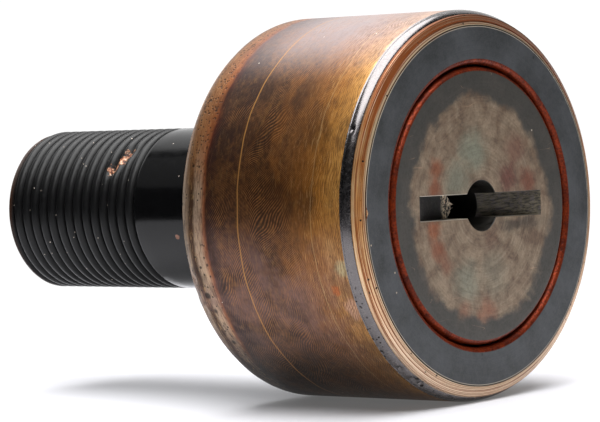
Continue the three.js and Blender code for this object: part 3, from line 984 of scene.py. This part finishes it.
def make_stud():
    """Stud with its head flange, slot, ports, raceway, shank and thread."""
    rows, front_paint = stud_rows()
    front = stud_front(rows)
    angles = np.arctan2(front[-1, :, 2], front[-1, :, 0]) % (2 * math.pi)
    angles[-1] = 2 * math.pi
    front = turn_slot(crumb_ledge(front))
    thread = thread_grid(angles)
    for centre in BRUISE:
        thread = dent(thread, centre, BRUISE_SIZE, BRUISE_DEPTH)
    end = stud_end(angles)
    end[0] = thread[-1]
    front[0] = end[-1]
    grids = [(front, front_paint), (thread, [3] * len(thread)), (end, [3] * len(end))]
    finishes = [head_finish(), groove_finish(), slot_finish(), black_finish(),
                ground_finish("raceway_steel", "#8f8f90", "#c8c8c8"), port_finish(),
                ground_finish("bared_edge", "#a39a8c", "#ded6c8", 0.4)]
    return build("stud_turned", grids, "stud_assembly", "stud", finishes,
                 slot_paint)


def slot_paint(mesh):
    """Faces of the head that lie in the slot get the slot's finish, down to the port's wall."""
    count = len(mesh.polygons)
    centre = np.zeros(count * 3, np.float32)
    mesh.polygons.foreach_get("center", centre)
    centre = centre.reshape(-1, 3) / MM
    finish = np.zeros(count, np.int32)
    mesh.polygons.foreach_get("material_index", finish)
    radius = np.hypot(centre[:, 0], centre[:, 2])
    depth = centre[:, 1] - Y_HEAD / MM
    in_slot = (depth > 0.03) & (depth < 5.2) & (radius < SLOT_L / MM / 2 + 0.3)
    ledge = (depth < 7) & (radius < PORT_R / MM - 0.15) & (depth > 3.9) & (centre[:, 0] < 0)
    finish[in_slot & (finish == 0)] = 2
    turned = centre[:, 2] * math.cos(SLOT_TURN) + centre[:, 0] * math.sin(SLOT_TURN)
    near_edge = np.abs(np.abs(turned) - SLOT_W / MM / 2 - SLOT_BEVEL / MM / 2) < 0.04
    bevel = near_edge & (depth > 0.01) & (depth < 0.3) & (radius < SLOT_L / MM / 2)
    finish[bevel & (centre[:, 0] < 0)] = 6
    finish[ledge & (finish == 5)] = 2
    mesh.polygons.foreach_set("material_index", finish)


# ---- Outer ring, end plate, seals, plug and needles ----------------------------------------


def front_corner():
    """Rounded corner from the front face to the tread, as (r, y) points.

    The turned cones are straight from point to point. The bead is three arcs of circles which
    meet with one direction: r = centre + radius cos t, y = centre + radius sin t.
    """
    rim = ROLLER_R / MM
    cones = np.array(TURNED_CONES) + ((ROLLER_R - CORNER_RADIAL) / MM, 0)
    arcs = [arc(rim - under, y, radius, radius, *turn) for under, y, radius, *turn in BEAD_ARCS]
    start = np.array([(rim - under, y) for under, y in TREAD_START])
    bead = np.concatenate([arcs[0]] + [part[1:] for part in arcs[1:]] + [start])
    return cones * MM + (0, Y_HEAD), bead * MM + (0, Y_HEAD)


def back_corner():
    """Plain worn corner at the back, from the tread to the face, as (r, y) points.

    A quarter of an ellipse, r = inner + radial size x sin t and y = axial size x (1 - cos t)
    in front of the back face, with two shallow steps turned into it.
    """
    t = np.array([0, 5, 10, 16, 16.8, 22, 28, 28.8, 34, 40, 46, 46.8, 52, 58, 64, 70, 76, 82,
                  86, 90])
    depth = sum(BACK_STEP * ((t > low) & (t < high)) for low, high in BACK_STEPS)
    t = np.radians(t)
    r = ROLLER_R - CORNER_RADIAL + CORNER_RADIAL * np.sin(t) - depth * MM
    y = Y_BACK - CORNER_AXIAL * (1 - np.cos(t))
    return np.stack([r, y], axis=1)[::-1]


def make_ring():
    """Outer ring: closed section of faces, corners, tread, counterbores and outer race.

    Finishes: 0 flat face, 1 groove, 2 turned corner, 3 bead, 4 tread, 5 race and counterbores.
    """
    mouth = COUNTERBORE_R + EDGE_RADIAL
    inner = ROLLER_R - CORNER_RADIAL
    y_front, y_rear = Y_HEAD + SEAT_DEPTH, Y_BACK - SEAT_DEPTH
    cones, bead = front_corner()
    back = back_corner()
    parts = [
        (arc(mouth, Y_HEAD + EDGE_AXIAL, -EDGE_RADIAL, -EDGE_AXIAL, 0, 90, 8), 1),
        (run((mouth, Y_HEAD, 1), (inner, Y_HEAD, 10))[1:], 0),
        (cones[1:], 2),
        (bead, 3),
        (run((ROLLER_R, bead[-1, 1], 1), (ROLLER_R, back[0, 1], 40))[1:], 4),
        (back[1:], 4),
        (run((inner, Y_BACK, 1), (mouth, Y_BACK, 10))[1:], 0),
        (arc(mouth, Y_BACK - EDGE_AXIAL, -EDGE_RADIAL, EDGE_AXIAL, 90, 0, 8)[1:], 1),
        (run((COUNTERBORE_R, Y_BACK - EDGE_AXIAL, 1), (COUNTERBORE_R, y_rear, 3),
             (OUTER_RACE_R, y_rear, 2), (OUTER_RACE_R, y_front, 8),
             (COUNTERBORE_R, y_front, 2),
             (COUNTERBORE_R, Y_HEAD + EDGE_AXIAL, 3))[1:], 5),
    ]
    section = np.concatenate([points for points, _ in parts])
    paint = np.concatenate([[finish] * len(points) for points, finish in parts])
    grid = sweep(section, round_angles(RING_COLUMNS))
    for centre, size, depth in NICKS:
        grid = dent(grid, centre, size, depth)
    finishes = [face_finish(), groove_finish(), corner_finish(), bead_finish(),
                tread_finish(), ground_finish("race_steel", "#8a8886", "#c2c0bc")]
    return build("ring_turned", [(grid, paint[1:])], "roller",
                 "outer_ring", finishes)


def turned_piece(name, node, body, section, finish, columns=ROUND_COLUMNS, about=None):
    """A simple turned piece with one finish, from a section that closes on itself."""
    grid = sweep(section, round_angles(columns))
    if about is not None:
        grid = grid + np.array(about)
    return build(name, [(grid, [0] * len(section))], body, node, [finish])


def make_end_plate():
    """Thrust plate on the stud's back shoulder, with rounded rim and eased bore."""
    bore = SHANK_R + PRESS_GAP
    y_in = Y_PLATE + PRESS_GAP
    rim = FLANGE_R - EDGE_RADIAL
    y_out = plate_high.y
    section = np.concatenate([
        run((bore, y_in, 1), (FLANGE_R, y_in, 6)),
        arc(rim, y_out - EDGE_AXIAL, EDGE_RADIAL, EDGE_AXIAL, 0, 90, 8),
        run((rim, y_out, 1), (bore + BORE_EASE, y_out, 10), (bore, y_out - BORE_EASE, 2),
            (bore, y_in, 3))[1:]])
    return turned_piece("plate_turned", "end_plate", "stud_assembly", section,
                        face_finish())


def make_seal(name, node, y_low):
    """Seal ring with a rounded lip on each side of a shallow middle groove."""
    inner = OUTER_RACE_R + SEAL_BORE_PLAY
    outer = COUNTERBORE_R - SEAL_PLAY
    y_high = y_low + SEAL_T
    lip = SEAL_LIP
    middle = (inner + outer) / 2
    section = np.concatenate([
        run((inner + lip, y_low, 1), (middle - lip, y_low, 2), (middle, y_low + SEAL_DIP, 2),
            (middle + lip, y_low, 2), (outer - lip, y_low, 2)),
        arc(outer - lip, y_low + lip, lip, lip, -90, 0, 4),
        arc(outer - lip, y_high - lip, lip, lip, 0, 90, 4),
        run((outer - lip, y_high, 1), (middle + lip, y_high, 2), (middle, y_high - SEAL_DIP, 2),
            (middle - lip, y_high, 2), (inner + lip, y_high, 2)),
        arc(inner + lip, y_high - lip, -lip, lip, 90, 0, 4),
        arc(inner + lip, y_low + lip, -lip, -lip, 0, 90, 4)])
    return turned_piece(name, node, "roller", section, seal_finish(),
                        SEAL_COLUMNS)


def make_plug():
    """Round plug in the stud's end port, dished in the middle, with an eased rim."""
    r = plug_high.x
    y_out, y_in = plug_high.y, plug_low.y
    section = np.concatenate([
        run((0, y_in, 1), (r, y_in, 4)),
        arc(r - PLUG_EASE, y_out - PLUG_EASE, PLUG_EASE, PLUG_EASE, 0, 90, 5),
        run((r - PLUG_EASE, y_out, 1), (r * 0.55, y_out, 3)),
        arc(0, y_out, r * 0.5, -PLUG_DISH, 0, 90, 8)])
    section[-1, 0] = 0
    return turned_piece("plug_turned", "stud_end_plug", "stud_assembly", section,
                        ground_finish("plug_bright", "#59595b", "#8e8e90", 0.35), PLUG_COLUMNS)


def make_needles():
    """Loose needles with rounded ends, evenly spaced on their circle."""
    finish = ground_finish("needle_steel", "#a9a9ab", "#d6d6d8", 0.14)
    half = (needle_high.y - needle_low.y) / 2
    end = NEEDLE_END
    section = np.concatenate([
        run((0, -half, 1), (NEEDLE_R - end, -half, 2)),
        arc(NEEDLE_R - end, -half + end, end, end, -90, 0, 4)[1:],
        arc(NEEDLE_R - end, half - end, end, end, 0, 90, 4),
        run((NEEDLE_R - end, half, 1), (0, half, 2))[1:]])
    y_middle = (needle_high.y + needle_low.y) / 2
    for i in range(NEEDLE_COUNT):
        angle = 2 * math.pi * i / NEEDLE_COUNT
        about = (math.sin(angle) * NEEDLE_CIRCLE_R, y_middle, math.cos(angle) * NEEDLE_CIRCLE_R)
        number = f"{i + 1:02d}"
        turned_piece(f"needle_turned_{number}", f"needle_{number}", "needle_set",
                     section, finish, NEEDLE_COLUMNS, about)


# ---- Camera, floor and light ---------------------------------------------------------------

CAMERA_AZIMUTH = math.radians(-50.33)
CAMERA_HEIGHT = math.radians(2.95)
CAMERA_DISTANCE = 16.48 * ROLLER_R
CAMERA_YAW = math.radians(1.647)
CAMERA_ROLL = math.radians(-2.922)
CAMERA_LENS = 189.7


def turned_about(vector, axis, angle):
    """A direction turned about an axis."""
    return Matrix.Rotation(angle, 3, axis) @ vector


def make_camera():
    """Camera at the middle of the roller, turned aside by the yaw and then rolled."""
    a, e = CAMERA_AZIMUTH, CAMERA_HEIGHT
    back = Vector((math.sin(a) * math.cos(e), -math.cos(a) * math.cos(e), math.sin(e)))
    right = Vector((math.cos(a), math.sin(a), 0))
    up = back.cross(right)
    place = Vector((0, Y_MIDDLE, 0)) + back * CAMERA_DISTANCE
    right, back = (turned_about(v, up, CAMERA_YAW) for v in (right, back))
    right, up = (turned_about(v, back, CAMERA_ROLL) for v in (right, up))
    data = bpy.data.cameras.new("camera")
    data.lens = CAMERA_LENS
    data.sensor_width = 36
    data.clip_start, data.clip_end = 0.01, 50
    camera = bpy.data.objects.new("camera", data)
    bpy.context.scene.collection.objects.link(camera)
    basis = Matrix((right, up, back)).transposed().to_4x4()
    camera.matrix_world = Matrix.Translation(place) @ basis
    bpy.context.scene.camera = camera


def make_floor():
    """Round pale table top just under the tread."""
    radius, z = 0.22, -ROLLER_R
    angles = np.linspace(0, 2 * math.pi, 97)[:-1]
    rim = np.stack([radius * np.cos(angles), radius * np.sin(angles) + Y_MIDDLE,
                    np.full_like(angles, z)], axis=1)
    mesh = bpy.data.meshes.new("floor")
    mesh.from_pydata(rim.tolist(), [], [list(range(96))])
    floor = bpy.data.objects.new("floor", mesh)
    bpy.context.scene.collection.objects.link(floor)
    material = bpy.data.materials.new("pale_floor")
    material.use_nodes = True
    shader = material.node_tree.nodes["Principled BSDF"]
    shader.inputs["Base Color"].default_value = (0.60, 0.60, 0.63, 1)
    shader.inputs["Roughness"].default_value = 0.8
    shader.inputs["Specular IOR Level"].default_value = 0.1
    shader.inputs["Emission Color"].default_value = (1, 1, 1, 1)
    shader.inputs["Emission Strength"].default_value = 0.11
    mesh.materials.append(material)


def soft_box(name, place, aim, width, height, power):
    """Rectangular light at place, facing aim."""
    data = bpy.data.lights.new(name, "AREA")
    data.shape = "RECTANGLE"
    data.size, data.size_y = width, height
    data.energy = power
    lamp = bpy.data.objects.new(name, data)
    bpy.context.scene.collection.objects.link(lamp)
    toward = (Vector(aim) - Vector(place)).normalized()
    lamp.matrix_world = (Matrix.Translation(Vector(place))
                         @ toward.to_track_quat("-Z", "Y").to_matrix().to_4x4())


def make_light():
    """A dark room with a white backdrop, a box overhead, a wide one behind and a weak front."""
    world = bpy.data.worlds.new("studio")
    bpy.context.scene.world = world
    world.use_nodes = True
    t = Tree(world.node_tree)
    world.node_tree.nodes.clear()
    seen = t.node("ShaderNodeLightPath").outputs["Is Camera Ray"]
    white = t.node("ShaderNodeBackground", {0: (1, 1, 1, 1), 1: 1.05}).outputs[0]
    room = t.node("ShaderNodeBackground", {0: (0.9, 0.95, 1, 1), 1: 0.01}).outputs[0]
    both = t.node("ShaderNodeMixShader", {0: seen, 1: room, 2: white}).outputs[0]
    t.put(t.node("ShaderNodeOutputWorld").inputs[0], both)
    aim = (0, Y_MIDDLE, 0)
    soft_box("overhead_box", (-0.05, -0.08, 0.7), aim, 0.7, 1.2, 18.0)
    soft_box("back_box", (0.55, 0.5, 0.35), aim, 1.6, 0.9, 4.6)
    soft_box("left_box", (-0.32, 0.45, 0.5), aim, 0.5, 0.5, 0.2)
    soft_box("front_box", (0.35, -0.8, 0.45), aim, 0.5, 0.5, 0.55)


# ---- Assembly ------------------------------------------------------------------------------

make_camera()
make_stud()
make_ring()
make_end_plate()
make_seal("front_seal_ring", "front_seal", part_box("front_seal")[0].y)
make_seal("rear_seal_ring", "rear_seal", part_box("rear_seal")[0].y)
make_plug()
make_needles()
make_floor()
make_light()
bpy.context.scene.view_settings.view_transform = "Standard"
